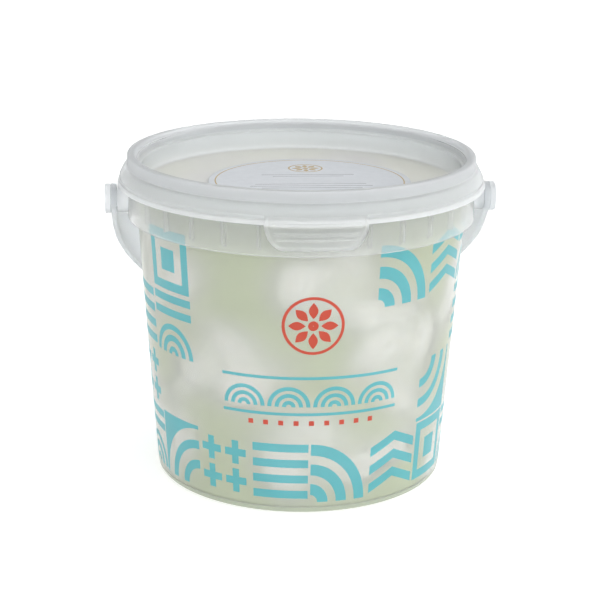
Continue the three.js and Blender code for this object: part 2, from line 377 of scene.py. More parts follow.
def turned(name, corners, sides=SIDES):
    """A closed body turned about Z, from an outline that starts and ends on the axis."""
    path = spaced(rounded(corners))
    inner = path[1:-1]
    count = len(inner)
    angles = np.arange(sides) * 2 * math.pi / sides
    x = np.outer(np.sin(angles), inner[:, 0])
    y = np.outer(-np.cos(angles), inner[:, 0])
    z = np.broadcast_to(inner[:, 1], (sides, count))
    ends = np.array([[0, 0, path[0][1]], [0, 0, path[-1][1]]])
    first, last = sides * count, sides * count + 1
    faces = []
    for i in range(sides):
        j = (i + 1) % sides
        faces.append((first, j * count, i * count))
        faces.append((last, i * count + count - 1, j * count + count - 1))
        for k in range(count - 1):
            faces.append((i * count + k, j * count + k, j * count + k + 1, i * count + k + 1))
    return mesh_object(name, np.concatenate([np.stack([x, y, z], 2).reshape(-1, 3), ends]), faces)


def ring_faces(rings, sides):
    """The faces between rings of points that follow one another."""
    faces = []
    for i in range(rings - 1):
        for k in range(sides):
            n = (k + 1) % sides
            faces.append((i * sides + k, i * sides + n, (i + 1) * sides + n, (i + 1) * sides + k))
    return faces


def peg(name, corners, side):
    """A body turned about the handle's axis, from an outline of (radius, distance from the middle)."""
    obj = turned(name, corners, PEG_SIDES)
    turn = Matrix.Translation((0, 0, PIVOT_Z * MM)) @ Matrix.Rotation(math.radians(90 * side), 4, "Y")
    obj.data.transform(turn)
    return obj


def block(name, x0, x1, y0, y1, z0, z1):
    verts = [(x, y, z) for x in (x0, x1) for y in (y0, y1) for z in (z0, z1)]
    faces = [(0, 1, 3, 2), (4, 6, 7, 5), (0, 4, 5, 1), (2, 3, 7, 6), (0, 2, 6, 4), (1, 5, 7, 3)]
    return mesh_object(name, verts, faces)


# Materials
GLOSS_SPAN = (0.3, 0.7)  # what noise usually runs over
TONE_SPAN = (0.35, 0.65)
GLOSS_SPREAD = 0.03
INK_SPREAD = 1.06
FIBRE_STRETCH = (1.0, 1.0, 0.05)  # the fibres are long along the strand


def material(name):
    """A new material, its node tree, its shader and its output."""
    made = bpy.data.materials.new(name)
    made.use_nodes = True
    tree = made.node_tree
    return made, tree, tree.nodes["Principled BSDF"], tree.nodes["Material Output"]


def attribute(tree, name):
    node = tree.nodes.new("ShaderNodeAttribute")
    node.attribute_name = name
    return node.outputs


def noise(tree, scale, detail=3.0):
    """Noise in the object's own coordinates."""
    coords = tree.nodes.new("ShaderNodeTexCoord")
    texture = tree.nodes.new("ShaderNodeTexNoise")
    texture.inputs["Scale"].default_value = scale
    texture.inputs["Detail"].default_value = detail
    tree.links.new(coords.outputs["Object"], texture.inputs["Vector"])
    return texture.outputs["Fac"]


def spread(tree, value, span, low, high, blend="LINEAR"):
    """A value that runs over a span, led over to run from low to high."""
    node = tree.nodes.new("ShaderNodeMapRange")
    node.interpolation_type = blend
    node.inputs["From Min"].default_value = span[0]
    node.inputs["From Max"].default_value = span[1]
    node.inputs["To Min"].default_value = low
    node.inputs["To Max"].default_value = high
    tree.links.new(value, node.inputs["Value"])
    return node.outputs["Result"]


def ramp(tree, value, span, low, high):
    """A value that runs over a span, as a blend of two colours."""
    node = tree.nodes.new("ShaderNodeValToRGB")
    stops = node.color_ramp.elements
    stops[0].position = span[0]
    stops[1].position = span[1]
    stops[0].color = (*low, 1)
    stops[1].color = (*high, 1)
    tree.links.new(value, node.inputs["Fac"])
    return node.outputs["Color"]


def bump(tree, shader, height, strength, distance_mm):
    node = tree.nodes.new("ShaderNodeBump")
    node.inputs["Strength"].default_value = strength
    node.inputs["Distance"].default_value = distance_mm * MM
    tree.links.new(height, node.inputs["Height"])
    tree.links.new(node.outputs["Normal"], shader.inputs["Normal"])


def see_through(tree, shader, output, cover):
    """Shows the shader by a share of cover, and by the rest what lies behind."""
    passing = tree.nodes.new("ShaderNodeBsdfTransparent")
    mix = tree.nodes.new("ShaderNodeMixShader")
    tree.links.new(cover, mix.inputs["Fac"])
    tree.links.new(passing.outputs[0], mix.inputs[1])
    tree.links.new(shader.outputs[0], mix.inputs[2])
    tree.links.new(mix.outputs[0], output.inputs["Surface"])


def plastic(name, tint, clear, rough, bending):
    """Natural polypropylene: hazy and satin, uneven in gloss, milkier where an edge gathers light."""
    made, tree, shader, _ = material(name)
    shader.inputs["Base Color"].default_value = (*tint, 1)
    shader.inputs["IOR"].default_value = bending
    haze = spread(tree, attribute(tree, "edge")["Fac"], (0, 1), clear, clear * EDGE_CLEAR)
    tree.links.new(haze, shader.inputs["Transmission Weight"])
    gloss = spread(tree, noise(tree, 60), GLOSS_SPAN, rough - GLOSS_SPREAD, rough + GLOSS_SPREAD)
    tree.links.new(gloss, shader.inputs["Roughness"])
    bump(tree, shader, noise(tree, 900, 2), 0.08, 0.2)
    return made


def wetted(name):
    """The inside of the wall where whey wets it: plastic and whey bend light alike, so nothing shows."""
    made, tree, _, output = material(name)
    passing = tree.nodes.new("ShaderNodeBsdfTransparent")
    tree.links.new(passing.outputs[0], output.inputs["Surface"])
    return made


def cloudy(name, thin, deep, least):
    """Whey: as cloudy at each point as the depth of whey behind it, and at least so much. Its colour runs
    from thin to deep with that depth: the thin colour stands for the white of a knot close behind, and a
    darker deep colour is painted shade in the deep gaps between knots.
    """
    made, tree, shader, output = material(name)
    veil = attribute(tree, "veil")["Fac"]
    colour = ramp(tree, veil, (THINNEST, DEEP_FROM), thin, deep)
    tree.links.new(colour, shader.inputs["Base Color"])
    shader.inputs["Roughness"].default_value = 0.35
    see_through(tree, shader, output, spread(tree, veil, (THINNEST, THICKEST), least, THICKEST))
    return made


def cheese(name):
    """Mozzarella: milk white, with fine fibres along the strand."""
    made, tree, shader, _ = material(name)
    stretch = tree.nodes.new("ShaderNodeMapping")
    stretch.inputs["Scale"].default_value = FIBRE_STRETCH
    texture = tree.nodes.new("ShaderNodeTexNoise")
    texture.inputs["Scale"].default_value = 0.9
    texture.inputs["Detail"].default_value = 4
    tree.links.new(attribute(tree, "grain")["Vector"], stretch.inputs["Vector"])
    tree.links.new(stretch.outputs["Vector"], texture.inputs["Vector"])
    fibres = texture.outputs["Fac"]
    colour = ramp(tree, fibres, TONE_SPAN, (0.80, 0.80, 0.72), (0.98, 0.977, 0.935))
    tree.links.new(colour, shader.inputs["Base Color"])
    shader.inputs["Roughness"].default_value = 0.4
    shader.inputs["Subsurface Weight"].default_value = 0.2
    shader.inputs["Subsurface Radius"].default_value = (1.0, 0.9, 0.75)
    shader.inputs["Subsurface Scale"].default_value = 0.003
    bump(tree, shader, fibres, 0.5, 0.6)
    return made


def ink(name, colour, cover):
    """Printing ink, a little see-through from outside, that lets out the light that comes from within."""
    made, tree, shader, output = material(name)
    light = tuple(min(1.0, c * INK_SPREAD) for c in colour)
    tone = ramp(tree, noise(tree, 80), TONE_SPAN, colour, light)
    tree.links.new(tone, shader.inputs["Base Color"])
    shader.inputs["Roughness"].default_value = 0.42
    shader.inputs["Specular IOR Level"].default_value = 0.3
    side = tree.nodes.new("ShaderNodeNewGeometry")
    see_through(tree, shader, output, spread(tree, side.outputs["Backfacing"], (0, 1), cover, 0.0))
    return made


def paper(name):
    made, tree, shader, _ = material(name)
    colour = ramp(tree, noise(tree, 400, 5), TONE_SPAN, (0.715, 0.747, 0.785), (0.755, 0.787, 0.825))
    tree.links.new(colour, shader.inputs["Base Color"])
    shader.inputs["Roughness"].default_value = 0.55
    bump(tree, shader, noise(tree, 1500, 3), 0.1, 0.1)
    return made


PAIL_PLASTIC = plastic("pail_plastic", (0.952, 0.965, 0.958), 0.82, 0.2, 1.25)
LID_PLASTIC = plastic("lid_plastic", (0.93, 0.947, 0.952), 0.83, 0.55, 1.22)
# The rim and crest are a darker copy of the lid plastic: painted shade on the top of the lid's rim
RIM_SHADE_PLASTIC = plastic("rim_plastic_painted_shade", (0.805, 0.823, 0.835), 0.62, 0.55, 1.22)
TAB_PLASTIC = plastic("tab_plastic", (0.965, 0.977, 0.975), 0.91, 0.45, 1.2)
# The sunk panel is a lighter, clearer copy of the lid plastic: painted light on the panel
PANEL_LIT_PLASTIC = plastic("panel_plastic_painted_light", (0.995, 0.998, 0.998), 0.97, 0.55, 1.1)
HANDLE_PLASTIC = plastic("handle_plastic", (0.885, 0.905, 0.92), 0.72, 0.55, 1.25)
# The foot is a darker, greener copy of the pail plastic: painted shade along the base, tinted like the whey
FOOT_SHADE_PLASTIC = plastic("foot_plastic_painted_shade", (0.50, 0.545, 0.44), 0.3, 0.2, 1.25)
WET = wetted("wetted_wall")
# The whey's dark olive deep colour is painted shade in the deep gaps between knots
WHEY = cloudy("whey", (0.95, 0.955, 0.90), (0.51, 0.575, 0.345), THINNEST)
# The top of the whey is a near-white copy: painted light from above, and the white of knots crowding under
# the lid
TOP_WHEY_LIT = cloudy("whey_under_lid_painted_light", (0.99, 0.99, 0.975), (0.965, 0.975, 0.86), 0.85)
CHEESE = cheese("mozzarella")
TURQUOISE = ink("turquoise_ink", (0.048, 0.365, 0.415), 0.84)
CORAL = ink("coral_ink", (0.47, 0.042, 0.018), 0.95)
PAPER = paper("paper")
GOLD = ink("gold_ink", (0.50, 0.36, 0.14), 0.9)
GREY = ink("grey_ink", (0.36, 0.37, 0.40), 0.8)


# Pail
PAIL_LOOKS = (PAIL_PLASTIC, WET, HANDLE_PLASTIC, FOOT_SHADE_PLASTIC)


def pail_look(x, z, radius):
    """Which of the pail's looks a face has, from where its middle is."""
    if FLOOR_Z - NEAR / 2 < z < WHEY_TOP and radius < inside_r(z) + NEAR:
        return PAIL_LOOKS.index(WET)
    if abs(x) > COLLAR_R + 2 * NEAR:
        return PAIL_LOOKS.index(HANDLE_PLASTIC)
    # Below the pail's floor: the darker foot plastic, painted shade at the base
    if z < FLOOR_Z:
        return PAIL_LOOKS.index(FOOT_SHADE_PLASTIC)
    return PAIL_LOOKS.index(PAIL_PLASTIC)


def make_pail():
    shell = turned("pail_body", [
        (0, FOOT_H),
        (FOOT_IN_R - FOOT_H, FOOT_H, 0.5),
        (FOOT_IN_R, 0, 0.4),
        (BASE_R, 0, BASE_ROUND),
        (wall_r(FLANGE_LOW), FLANGE_LOW, 0.3),
        (COLLAR_TOP_IN_R, FLANGE_LOW, 0.3),
        (COLLAR_R - COLLAR_T, COLLAR_LOW, 0.3),
        (COLLAR_R, COLLAR_LOW, 0.3),
        (COLLAR_R - COLLAR_DRAFT, FLANGE_TOP, 0.4),
        (RIM_R, FLANGE_TOP, 0.3),
        (RIM_R, SNAP_LOW, 0.3),
        (SNAP_R, SNAP_LOW + SNAP_SLOPE, 0.3),
        (SNAP_R, SNAP_TOP - SNAP_SLOPE, 0.3),
        (RIM_R, SNAP_TOP, 0.3),
        (RIM_R, RIM_TOP, 0.6),
        (inside_r(RIM_TOP), RIM_TOP, 0.6),
        (inside_r(FLOOR_Z), FLOOR_Z, FLOOR_ROUND),
        (0, FLOOR_Z),
    ])
    extras = []
    for i in range(RIBS):
        far = COLLAR_TOP_IN_R - RIB_GAP
        rib = block("rib", RIB_IN_R, far, -RIB_T / 2, RIB_T / 2, RIB_LOW, RIB_TOP)
        rib.data.transform(Matrix.Rotation(i / RIBS * 2 * math.pi, 4, "Z"))
        extras.append(rib)
    for side in (-1, 1):
        extras.append(peg("pivot", [
            (0, COLLAR_R - COLLAR_T),
            (BOSS_R, COLLAR_R - COLLAR_T, 0.05),
            (BOSS_R, BOSS_OUT, 0.3),
            (PIN_R, BOSS_OUT, 0.1),
            (PIN_R, HEAD_IN, 0.1),
            (HEAD_R, HEAD_IN, 0.3),
            (HEAD_R, HEAD_OUT, 0.5),
            (0, HEAD_OUT),
        ], side))
    combine(shell, join("extras", extras), "UNION")
    shade_smooth(shell)
    mark_edges(shell, EDGE_SHARE)
    wear(shell, PAIL_LOOKS)
    for face in shell.data.polygons:
        centre = face.center / MM
        face.material_index = pail_look(centre.x, centre.z, math.hypot(centre.x, centre.y))
    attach(shell, "pail")
    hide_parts("pail")


# Lid
LID_LOOKS = (LID_PLASTIC, WET, PANEL_LIT_PLASTIC, RIM_SHADE_PLASTIC, TAB_PLASTIC)


def tab_side():
    """The tab's right-hand edge from the middle of its foot to its top, as points of (x, z)."""
    start = np.array([TAB_LOW_W / 2, TAB_LOW])
    bend = np.array(TAB_BEND)
    end = np.array([TAB_TOP_W / 2, TAB_SHOULDER])
    t = np.linspace(0, 1, 40)[:, None]
    sweep = (1 - t) ** 2 * start + 2 * t * (1 - t) * bend + t * t * end
    foot = np.linspace((0, TAB_LOW), start, 24)[:-1]
    rise = np.linspace(end, (TAB_TOP_W / 2, TAB_TOP), 16)[1:]
    return np.concatenate([foot, sweep, rise]), len(foot) + len(sweep)


def tab_lift(x, z, edge):
    """How far the tab stands out at a point, from 0 to 1: at its border and at its grip ridges."""
    gap = np.sqrt(((edge - (x, z)) ** 2).sum(1)).min()
    lift = 1 - np.clip((gap - TAB_BORDER + 0.3) / 0.6, 0, 1)
    for ridge, height, width in TAB_RIDGES:
        across = abs(z - ridge) / (height / 2)
        along = np.clip((width / 2 - abs(x)) / RIDGE_END, 0, 1)
        lift = max(lift, along * math.sqrt(max(0.0, 1 - across * across)))
    return lift * np.clip((TAB_TOP - z) / TAB_FADE, 0, 1)


def make_tab():
    """A curved plate with a raised border and grip ridges, made as a fine grid."""
    edge, shoulder = tab_side()
    both = np.concatenate([edge, edge * (-1, 1)])
    n, m = TAB_COLUMNS, TAB_ROWS
    front, back = [], []
    for x in np.sin(np.linspace(-1, 1, n) * math.pi / 2) * (TAB_TOP_W / 2 - 0.02):
        low = np.interp(abs(x), edge[:shoulder, 0], edge[:shoulder, 1])
        for share in np.linspace(0, 1, m):
            z = low + (TAB_TOP - low) * share
            lean = np.clip((z - TAB_SHOULDER) / (TAB_TOP - TAB_SHOULDER), 0, 1)
            face = TAB_OUT_R + (TAB_TOP_R - LID_R) * lean
            angle = x / LID_R
            for radius, verts in ((face + TAB_RELIEF * tab_lift(x, z, both), front), (TAB_IN_R, back)):
                verts.append((radius * math.sin(angle), -radius * math.cos(angle), z))
    shift = n * m
    faces = []
    for i in range(n - 1):
        for k in range(m - 1):
            a, b, c, d = i * m + k, (i + 1) * m + k, (i + 1) * m + k + 1, i * m + k + 1
            faces += [(a, b, c, d), (shift + d, shift + c, shift + b, shift + a)]
        for k in (0, m - 1):
            faces.append((i * m + k, (i + 1) * m + k, shift + (i + 1) * m + k, shift + i * m + k))
    for i in (0, n - 1):
        for k in range(m - 1):
            faces.append((i * m + k, i * m + k + 1, shift + i * m + k + 1, shift + i * m + k))
    return mesh_object("tab", front + back, faces)


def lip_milk(z):
    """How milky the lid's thick lip is at a height. The tab below it stays clear."""
    return min(LIP_MILKY, LIP_TOP + LIP_FADE - z) if z > TAB_SHOULDER else 0.0


def lid_look(z, radius, upward):
    """Which of the lid's looks a face has, from where its middle is and how far it faces up."""
    if z < PANEL_LOW + NEAR and radius < PLUG_FOOT_R and upward < -0.5:
        return LID_LOOKS.index(WET)
    # Sunk panel: the lighter, clearer copy of the lid plastic, painted light
    if z < PANEL_TOP + NEAR and radius < PANEL_R and upward > 0.5:
        return LID_LOOKS.index(PANEL_LIT_PLASTIC)
    # Crest and upper rim: the darker copy of the lid plastic, painted shade
    if z > STEP_Z + 6 * NEAR and radius > LEDGE_R + 2 * NEAR:
        return LID_LOOKS.index(RIM_SHADE_PLASTIC)
    if z < LID_LOW - NEAR and radius > LIP_IN_R:
        return LID_LOOKS.index(TAB_PLASTIC)
    return LID_LOOKS.index(LID_PLASTIC)


def make_lid():
    lid = turned("lid_body", [
        (0, PANEL_LOW),
        (PLUG_FOOT_R, PANEL_LOW, PANEL_ROUND),
        (PLUG_R, PLUG_Z, 0.5),
        (PLUG_R, ROOF_LOW, 0.3),
        (CREST_R - LID_T, ROOF_LOW, 0.3),
        (CREST_R - LID_T, STEP_Z + 0.5, 0.4),
        (STEP_R - 1.3, STEP_Z - 0.4, 0.4),
        (SKIRT_IN_R, GROOVE_TOP, 0.4),
        (LIP_IN_R, LID_LOW, 0.3),
        (LID_R, LID_LOW, 0.35),
        (LIP_TOP_R, LIP_TOP, 0.25),
        (GROOVE_R, LIP_TOP + 0.3, 0.15),
        (GROOVE_R, GROOVE_TOP - 0.2, 0.15),
        (GROOVE_R + 0.2, GROOVE_TOP, 0.15),
        (STEP_R, STEP_Z - 0.3, 0.3),
        (STEP_R - 0.3, STEP_Z, 0.3),
        (CREST_R + 0.1, STEP_Z + 0.3, 0.3),
        (CREST_R, LID_TOP, 0.7),
        (CREST_IN_R, LID_TOP, 0.9),
        (LEDGE_R, LEDGE_Z, 0.3),
        (LEDGE_R - 0.8, LEDGE_Z - 0.3, 0.3),
        (PANEL_R, PANEL_TOP, PANEL_ROUND),
        (0, PANEL_TOP),
    ])
    combine(lid, make_tab(), "UNION")
    shade_smooth(lid)
    mark_edges(lid, EDGE_SHARE, lip_milk)
    wear(lid, LID_LOOKS)
    for face in lid.data.polygons:
        radius = math.hypot(face.center.x, face.center.y) / MM
        face.material_index = lid_look(face.center.z / MM, radius, face.normal.z)
    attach(lid, "pail")
    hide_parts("lid")


# Handle
def strap_stations():
    """Points along the strap, each with its direction and half its width, running past the pivots into
    round ends."""
    a, b = STRAP_IN + STRAP_T / 2, STRAP_REACH + STRAP_T / 2
    tip = np.sin(np.linspace(-1, 0, 12)[:-1] * math.pi / 2) * EYE_R
    start = [(a, v, 0.0, 1.0, math.sqrt(max(1e-4, EYE_R ** 2 - v * v))) for v in tip]
    arc = []
    for t in np.linspace(0, math.pi, 161):
        slope = np.array([-a * math.sin(t), b * math.cos(t)])
        slope /= np.linalg.norm(slope)
        wider = np.clip(b * math.sin(t) / STRAP_TAPER, 0, 1)
        half_w = EYE_R + (STRAP_W / 2 - EYE_R) * wider * wider * (3 - 2 * wider)
        arc.append((a * math.cos(t), b * math.sin(t), slope[0], slope[1], half_w))
    end = [(-x, v, 0.0, -1.0, half_w) for x, v, _, _, half_w in start[::-1]]
    return start + arc + end


def strap_section(half_w):
    """The strap's outline across, with soft edges, as points of (thickness, width)."""
    flat = STRAP_T / 2 - STRAP_SOFT
    edge = min(STRAP_SOFT, half_w)
    bend = np.linspace(0, math.pi / 2, 5)
    section = []
    for quarter, (su, sw) in enumerate(((1, 1), (-1, 1), (-1, -1), (1, -1))):
        for angle in bend if quarter % 2 == 0 else bend[::-1]:
            u = su * (flat + STRAP_SOFT * math.cos(angle))
            section.append((u, sw * (half_w - edge + edge * math.sin(angle))))
    return section


def make_handle():
    """A strap with soft edges along half an ellipse, with an eye for each pivot."""
    stations = strap_stations()
    verts = []
    for x, v, slope_x, slope_v, half_w in stations:
        section = strap_section(half_w)
        verts += [(x + slope_v * u, v - slope_x * u, w) for u, w in section]
    count = len(section)
    faces = ring_faces(len(stations), count)
    faces.append(tuple(range(count)))
    faces.append(tuple(range(len(verts) - count, len(verts)))[::-1])
    strap = mesh_object("handle_strap", verts, faces)
    pivot = Matrix.Translation((0, 0, PIVOT_Z * MM))
    strap.data.transform(pivot)
    near, far = STRAP_IN - HOLE_PAST, STRAP_IN + STRAP_T + HOLE_PAST
    for side in (-1, 1):
        hole = peg("hole", [(0, near), (EYE_HOLE_R, near, 0.1), (EYE_HOLE_R, far, 0.1), (0, far)], side)
        combine(strap, hole, "DIFFERENCE")
    hang = pivot @ Matrix.Rotation(math.radians(-HANG_DEG), 4, "X") @ pivot.inverted()
    strap.data.transform(hang)
    shade_smooth(strap)
    mark_edges(strap, STRAP_EDGE_SHARE)
    wear(strap, [HANDLE_PLASTIC])
    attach(strap, "handle")
    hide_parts("handle")


def make_disc():
    disc = turned("paper_disc", [
        (0, DISC_LOW),
        (DISC_R, DISC_LOW, 0.05),
        (DISC_R, DISC_LOW + DISC_T, 0.1),
        (0, DISC_LOW + DISC_T),
    ])
    disc.data.transform(Matrix.Translation((DISC_AT[0] * MM, DISC_AT[1] * MM, 0)))
    wear(disc, [PAPER])
    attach(disc, "pail")
    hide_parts("lid_disc")


# Knots
def strand():
    """The middle line and the thickness of a strand tied once: a trefoil cut open, its ends led out."""
    turn = np.linspace(math.pi / 3 + LOOP_CUT, math.pi / 3 + 2 * math.pi - LOOP_CUT, 120)
    loop = np.stack([
        LOOP_W * (np.sin(turn) + 2 * np.sin(2 * turn)),
        -CROSS_DEPTH * np.sin(3 * turn),
        LOOP_H * (np.cos(turn) - 2 * np.cos(2 * turn)),
    ], 1)
    run = np.linspace(0, 1, 14)[1:, None]
    tails = []
    for tip, inner in ((loop[0], loop[3]), (loop[-1], loop[-4])):
        ahead = (tip - inner) / np.linalg.norm(tip - inner)
        out = tip / np.linalg.norm(tip)
        tails.append(tip + ahead * run * TAIL_RUN + out * run ** 1.6 * TAIL_SPREAD)
    path = np.concatenate([tails[0][::-1], loop, tails[1]])
    taper = np.linspace(TAIL_R, STRAND_R, len(run))
    return path, np.concatenate([taper, np.full(len(loop), STRAND_R), taper[::-1]])


def frays(path):
    """The torn ends of a strand: a few thin threads that spread from each tip."""
    threads = []
    for tip, before in ((path[0], path[4]), (path[-1], path[-5])):
        ahead = (tip - before) / np.linalg.norm(tip - before)
        side = np.cross(ahead, (0.2, 0.9, 0.3))
        side /= np.linalg.norm(side)
        other = np.cross(ahead, side)
        for k in range(FRAYS):
            angle = FRAY_TURN * k
            lean = side * math.cos(angle) + other * math.sin(angle)
            root = tip + lean * TAIL_R * 0.5 - ahead * 2
            end = root + (ahead + lean * (0.25 + 0.12 * (k % 3))) * FRAY_RUN * (0.7 + 0.12 * k)
            threads.append((np.linspace(root, end, 6), np.linspace(*FRAY_THICK, 6)))
    return threads


def tube(path, radii, sides=20):
    """A closed tube of changing thickness along a line."""
    tangent = np.gradient(path, axis=0)
    tangent /= np.linalg.norm(tangent, axis=1)[:, None]
    normal = np.cross(tangent[0], (0.3, 0.2, 0.9))
    verts = []
    for i, point in enumerate(path):
        normal = normal - tangent[i] * normal.dot(tangent[i])
        normal /= np.linalg.norm(normal)
        other = np.cross(tangent[i], normal)
        for k in range(sides):
            angle = 2 * math.pi * k / sides
            verts.append(point + radii[i] * (math.cos(angle) * normal + math.sin(angle) * other))
    faces = ring_faces(len(path), sides)
    for i, way in ((0, -1), (len(path) - 1, 1)):
        verts.append(path[i] + way * tangent[i] * radii[i] * 0.5)
        for k in range(sides):
            faces.append((i * sides + k, i * sides + (k + 1) % sides, len(verts) - 1))
    return verts, faces


def tied_knot(voxel):
    """One knot: points, faces, and each point's place in the strand, which the fibres follow."""
    path, radii = strand()
    bodies = [mesh_object("strand", *tube(path, radii))]
    bodies += [mesh_object("thread", *tube(*thread, sides=8)) for thread in frays(path)]
    knot = join("knot", bodies)
    remesh = knot.modifiers.new("fuse", "REMESH")
    remesh.mode = "VOXEL"
    remesh.voxel_size = voxel * MM
    smooth = knot.modifiers.new("smooth", "SMOOTH")
    smooth.iterations = 3
    bake_modifiers(knot)
    points = np.array([v.co for v in knot.data.vertices]) / MM
    normals = np.array([v.normal for v in knot.data.vertices])
    faces = np.array([p.vertices for p in knot.data.polygons])
    bpy.data.objects.remove(knot)
    tree = KDTree(len(path))
    for i, point in enumerate(path):
        tree.insert(point, i)
    tree.balance()
    near = np.array([tree.find(p)[1] for p in points])
    tangent = np.gradient(path, axis=0)
    length = np.concatenate([[0], np.cumsum(np.linalg.norm(np.diff(path, axis=0), axis=1))])
    tangent /= np.linalg.norm(tangent, axis=1)[:, None]
    side = np.cross(tangent, (0.0, 1.0, 0.0))
    side /= np.linalg.norm(side, axis=1)[:, None]
    up = np.cross(side, tangent)
    across = (normals * side[near]).sum(1)
    above = (normals * up[near]).sum(1)
    grain = np.stack([STRAND_R * across, STRAND_R * above, length[near]], 1)
    angle = np.arctan2(above, across)
    along = 2 * math.pi * length[near] / length[-1]
    fibre = np.sin(17 * angle + 3 * along) + 0.8 * np.sin(29 * angle - 5 * along)
    return points + normals * (FIBRE_MM * fibre)[:, None], faces, grain


def ring_places(depth, turn, raised, scale):
    """Where the knots of each layer lie, at a depth behind the wall."""
    places = []
    for z, count, first, tilt in LAYERS:
        for i in range(count):
            lift = raised + LIFT_SPREAD * math.sin(2.4 * i + z)
            size = scale * (1 + UNEVEN * math.sin(1.7 * i + z))
            deep = depth + DEPTH_SPREAD * (1 + math.sin(3.1 * i + z))
            places.append(
                Matrix.Rotation(math.radians(first + (i + turn) * 360 / count), 4, "Z")
                @ Matrix.Translation((0, deep - inside_r(z), z + lift))
                @ Matrix.Rotation(tilt + TILT_STEP * i, 4, "Y")
                @ Matrix.Diagonal((size, scale, size, 1))
            )
    return places


def middle_places():
    return [
        Matrix.Translation((0, 0, z))
        @ Matrix.Rotation(1.1 * i, 4, "Z")
        @ Matrix.Rotation(math.pi / 2, 4, "X")
        @ Matrix.Scale(INNER_SIZE, 4)
        for i, z in enumerate(MIDDLE_KNOTS)
    ]


def within_pail(points):
    """Presses points against the wall, softly, and against the floor and the lid's panel."""
    points[:, 2] = np.clip(points[:, 2], FLOOR_Z + FLOOR_GAP, WHEY_TOP - TOP_GAP)
    radius = np.hypot(points[:, 0], points[:, 1])
    most = inside_r(points[:, 2]) - WALL_GAP
    pressed = most - PRESS_SOFT * np.logaddexp(0, (most - radius) / PRESS_SOFT)
    points[:, :2] *= (pressed / np.maximum(radius, 1e-6))[:, None]
    return points


def make_knots():
    """Knots against the wall, and coarser ones behind them."""
    at_wall = ring_places(KNOT_DEPTH, 0, 0, 1)
    inside = ring_places(INNER_DEPTH, 0.5, INNER_LIFT, INNER_SIZE) + middle_places()
    verts, polys, grains = [], [], []
    for voxel, places in ((WALL_VOXEL, at_wall), (INNER_VOXEL, inside)):
        points, faces, grain = tied_knot(voxel)
        for place in places:
            seed = len(verts)
            bent = points + KNOT_WOBBLE * np.sin(0.17 * np.roll(points, 1, axis=1) + 1.3 * seed)
            turn = np.array(place)
            polys.append(faces + sum(map(len, verts)))
            verts.append(within_pail(bent @ turn[:3, :3].T + turn[:3, 3]))
            grains.append(grain + np.array((13.0, 7.0, 31.0)) * seed)
    knots = mesh_object("knots", np.concatenate(verts), np.concatenate(polys).tolist(), 180)
    lengths = knots.data.attributes.new("grain", "FLOAT_VECTOR", "POINT")
    lengths.data.foreach_set("vector", np.concatenate(grains).ravel())
    wear(knots, [CHEESE])
    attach(knots, "pail")
    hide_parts("mozzarella_knots")
    return knots


# Whey
def blurred(mesh, values):
    """Values at points, evened out with those of the points beside them."""
    values = np.array(values)
    ends = np.array([edge.vertices for edge in mesh.edges])
    count = np.bincount(ends.ravel(), minlength=len(values))
    for _ in range(VEIL_BLURS):
        total = np.bincount(ends[:, 0], values[ends[:, 1]], len(values))
        total += np.bincount(ends[:, 1], values[ends[:, 0]], len(values))
        values = (values + total / count) / 2
    return values


def ray_ways(inward):
    """Ways into the whey: straight in, and a cone of ways round that."""
    side = inward.orthogonal().normalized()
    other = inward.cross(side)
    ways = [inward]
    for k in range(RAYS):
        angle = 2 * math.pi * k / RAYS
        lean = math.cos(angle) * side + math.sin(angle) * other
        ways.append((inward + RAY_LEAN * lean).normalized())
    return ways


def make_whey(knots):
    """Fills the pail to just into the wall. Each point keeps how deep the whey is before a knot begins."""
    low = FLOOR_Z - WHEY_INTO_FLOOR
    whey = turned("whey", [
        (0, low),
        (inside_r(FLOOR_Z) + WHEY_INTO_WALL, low, 0.8),
        (inside_r(WHEY_TOP) + WHEY_INTO_WALL, WHEY_TOP, 0.3),
        (0, WHEY_TOP),
    ])
    fine = bmesh.new()
    fine.from_mesh(whey.data)
    for _ in range(2):
        long_edges = [e for e in fine.edges if e.calc_length() > WHEY_EDGE * MM]
        bmesh.ops.subdivide_edges(fine, edges=long_edges, cuts=1, use_grid_fill=True)
    fine.to_mesh(whey.data)
    fine.free()
    shade_smooth(whey)
    tree = BVHTree.FromObject(knots, bpy.context.evaluated_depsgraph_get())
    veil = whey.data.attributes.new("veil", "FLOAT", "POINT")
    values = []
    for vertex in whey.data.vertices:
        ways = ray_ways(-vertex.normal)
        total = 0.0
        for way in ways:
            hit = tree.ray_cast(vertex.co, way, RAY_REACH * MM)
            depth = hit[3] / MM if hit[0] else RAY_REACH
            total += 1 - math.exp(-depth / FOG_MM)
        values.append(THINNEST + (THICKEST - THINNEST) * total / len(ways))
    veil.data.foreach_set("value", blurred(whey.data, values))
    wear(whey, [WHEY, TOP_WHEY_LIT])
    for face in whey.data.polygons:
        # Upward faces take the near-white top whey: painted light from above
        face.material_index = int(face.normal.z > 0.9)
    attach(whey, "pail")


# Motifs of the print, each in a unit square
FAN_RINGS = ((0.12, 0.3), (0.44, 0.62), (0.76, 0.94))
FAN_GAPS = ((0.3, 0.44), (0.62, 0.76))
ARCH_RINGS = ((0.05, 0.13), (0.21, 0.31), (0.39, 0.48))
PLUS_PLACES = (0.27, 0.73)
PLUS_ARM = 0.19
PLUS_HALF = 0.06


def patch(n, m, place):
    """A grid of points from a function of two shares, each from 0 to 1."""
    return np.array([[place(s, t) for t in np.linspace(0, 1, m + 1)] for s in np.linspace(0, 1, n + 1)])


def bar(x0, y0, x1, y1, lean=0.0):
    """A bar, or with lean a parallelogram whose far side is raised by that much."""
    steps = max(10, math.ceil((x1 - x0) / BAR_STEP))
    return patch(steps, 2, lambda s, t: (x0 + (x1 - x0) * s, y0 + (y1 - y0) * t + lean * s))


